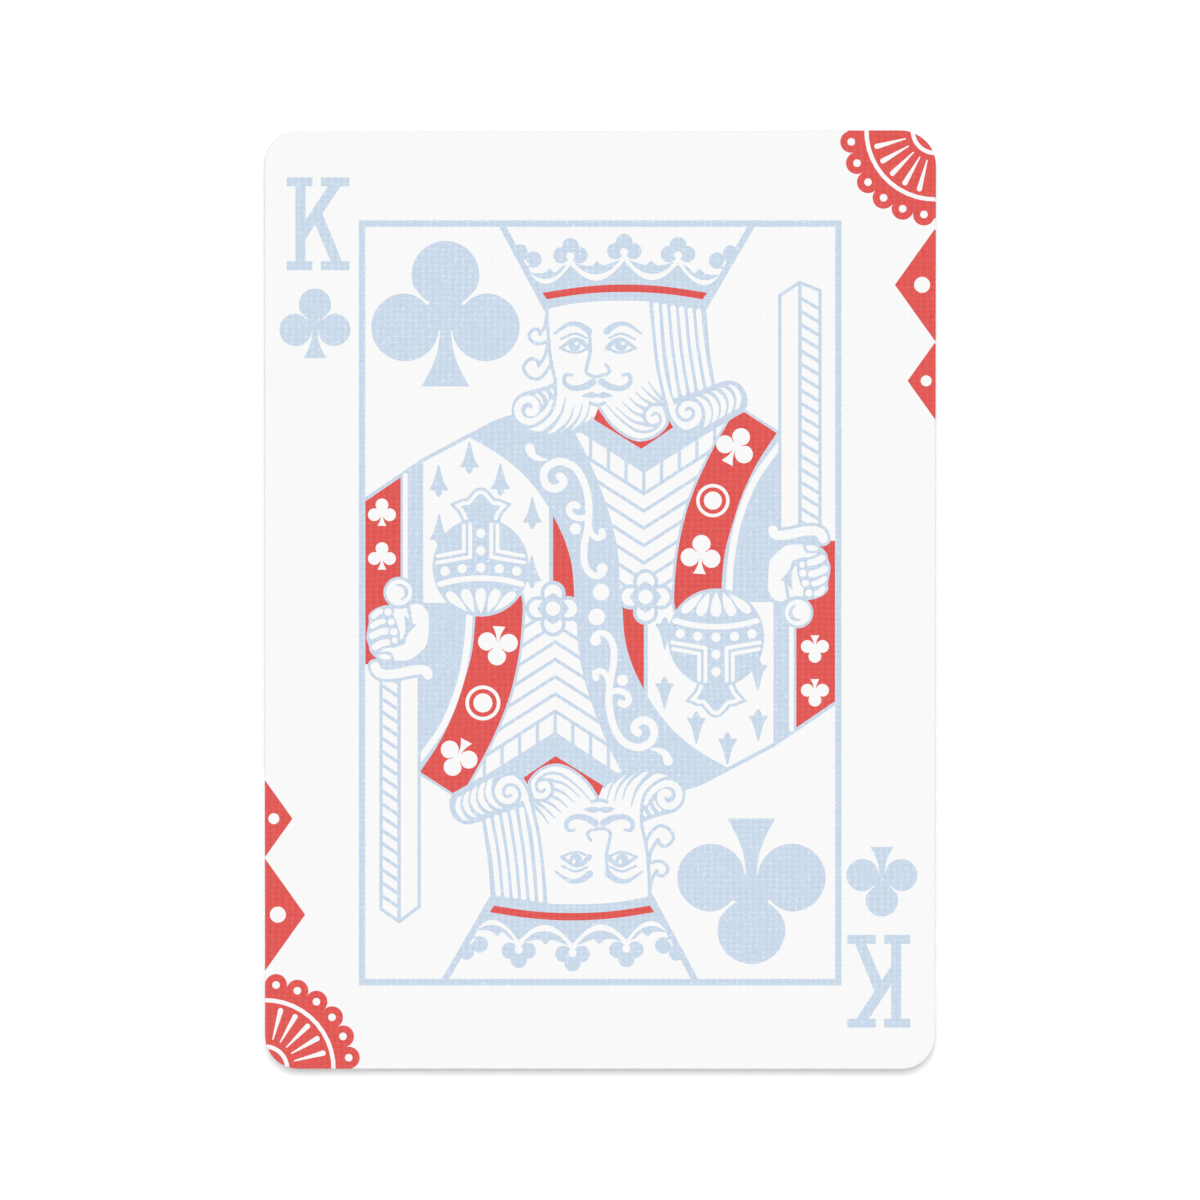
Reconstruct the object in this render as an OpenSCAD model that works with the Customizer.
// A full pack of poker-size playing cards, squared up and lying face up.
// Every card is a separate die-cut blank of laminated card stock. The pack lies on
// its lowest card, and the king of clubs is on top.
// Origin: centre of the pack's footprint, on the surface that it lies on.
// +X runs across a card, +Y runs up it, and +Z is the way that the faces look.

/* [Card] */
// Width of a card, across its short side
card_width = 63.5; // [45:0.1:90]
// Height of a card, along its long side
card_height = 88.9; // [60:0.1:130]
// Thickness of the laminated stock
card_thickness = 0.29; // [0.2:0.01:0.5]
// Radius of the die-cut corners
corner_radius = 3.175; // [1.5:0.025:8]
// Width and depth of the edge that the die rolls over, on both sides of a card
rolled_edge = 0.05; // [0.01:0.01:0.08]

/* [Pack] */
// Number of cards in each suit, counted down from the king
cards_per_suit = 13; // [1:1:13]
// Number of jokers under the suits
jokers = 2; // [1:1:2]
// Air that the embossed finish holds between two cards
air_between = 0.01; // [0.005:0.005:0.05]
// Largest turn of a card out of line with the pack, in degrees
squaring_error = 0.07; // [0:0.01:0.2]

/* [Hidden] */
$fn = 96;

// Suits and ranks, from the bottom of the pack to its top
SUITS = ["diamonds", "spades", "hearts", "clubs"];
RANKS = [
    "ace", "two", "three", "four", "five", "six", "seven", "eight", "nine", "ten",
    "jack", "queen", "king"
];
first_rank = len(RANKS) - cards_per_suit;
JOKERS = [for (j = [1 : jokers]) str("joker_", j)];
NODES = concat(
    JOKERS,
    [for (suit = SUITS) for (r = [first_rank : len(RANKS) - 1]) str(RANKS[r], "_of_", suit)]
);
top_card = len(NODES) - 1;

// Cards lie one pitch apart, which is the stock and the air above it
card_pitch = card_thickness + air_between;

// A fan opens about the centre of the lower left corner's arc
fan_x = -card_width / 2 + corner_radius;
fan_y = -card_height / 2 + corner_radius;

// Steps of the golden angle spread the small turns with no pattern from card to card
golden_angle = 137.508;

// Paper white
stock_colour = [0.976, 0.976, 0.972];

// Turn of card k out of line, in degrees. The lowest card and the top card lie true.
function turn_of(k) = k == 0 || k == top_card ? 0 : squaring_error * sin(k * golden_angle);

// Section through a card from its middle to one edge, with both rims rolled over.
// reach is the distance from the middle to the edge.
module half_section(reach) {
    polygon([
        [0, 0],
        [reach - rolled_edge, 0],
        [reach, rolled_edge],
        [reach, card_thickness - rolled_edge],
        [reach - rolled_edge, card_thickness],
        [0, card_thickness]
    ]);
}

// Bar with the card's section on two opposite sides, reaching +-reach along X and lying along Y
module rolled_bar(reach, length) {
    rotate([90, 0, 0])
        linear_extrude(height = length, center = true)
            union() {
                half_section(reach);
                mirror([1, 0]) half_section(reach);
            }
}

// Round corner of a card: the card's section turned about the corner's centre
module corner_disc() {
    rotate_extrude() half_section(corner_radius);
}

// One die-cut blank, centred on the origin with its back on the XY plane
module card_blank() {
    centre_x = card_width / 2 - corner_radius;
    centre_y = card_height / 2 - corner_radius;
    union() {
        rolled_bar(card_width / 2, 2 * centre_y);
        rotate([0, 0, 90]) rolled_bar(card_height / 2, 2 * centre_x);
        for (x = [-centre_x, centre_x])
            for (y = [-centre_y, centre_y])
                translate([x, y, 0]) corner_disc();
    }
}

// Card k of the pack, counted from the bottom, in its place and slightly out of line
module card(k) {
    color(stock_colour)
        translate([fan_x, fan_y, k * card_pitch])
            rotate([0, 0, turn_of(k)])
                translate([-fan_x, -fan_y, 0])
                    card_blank();
}

for (k = [0 : top_card])
    card(k);
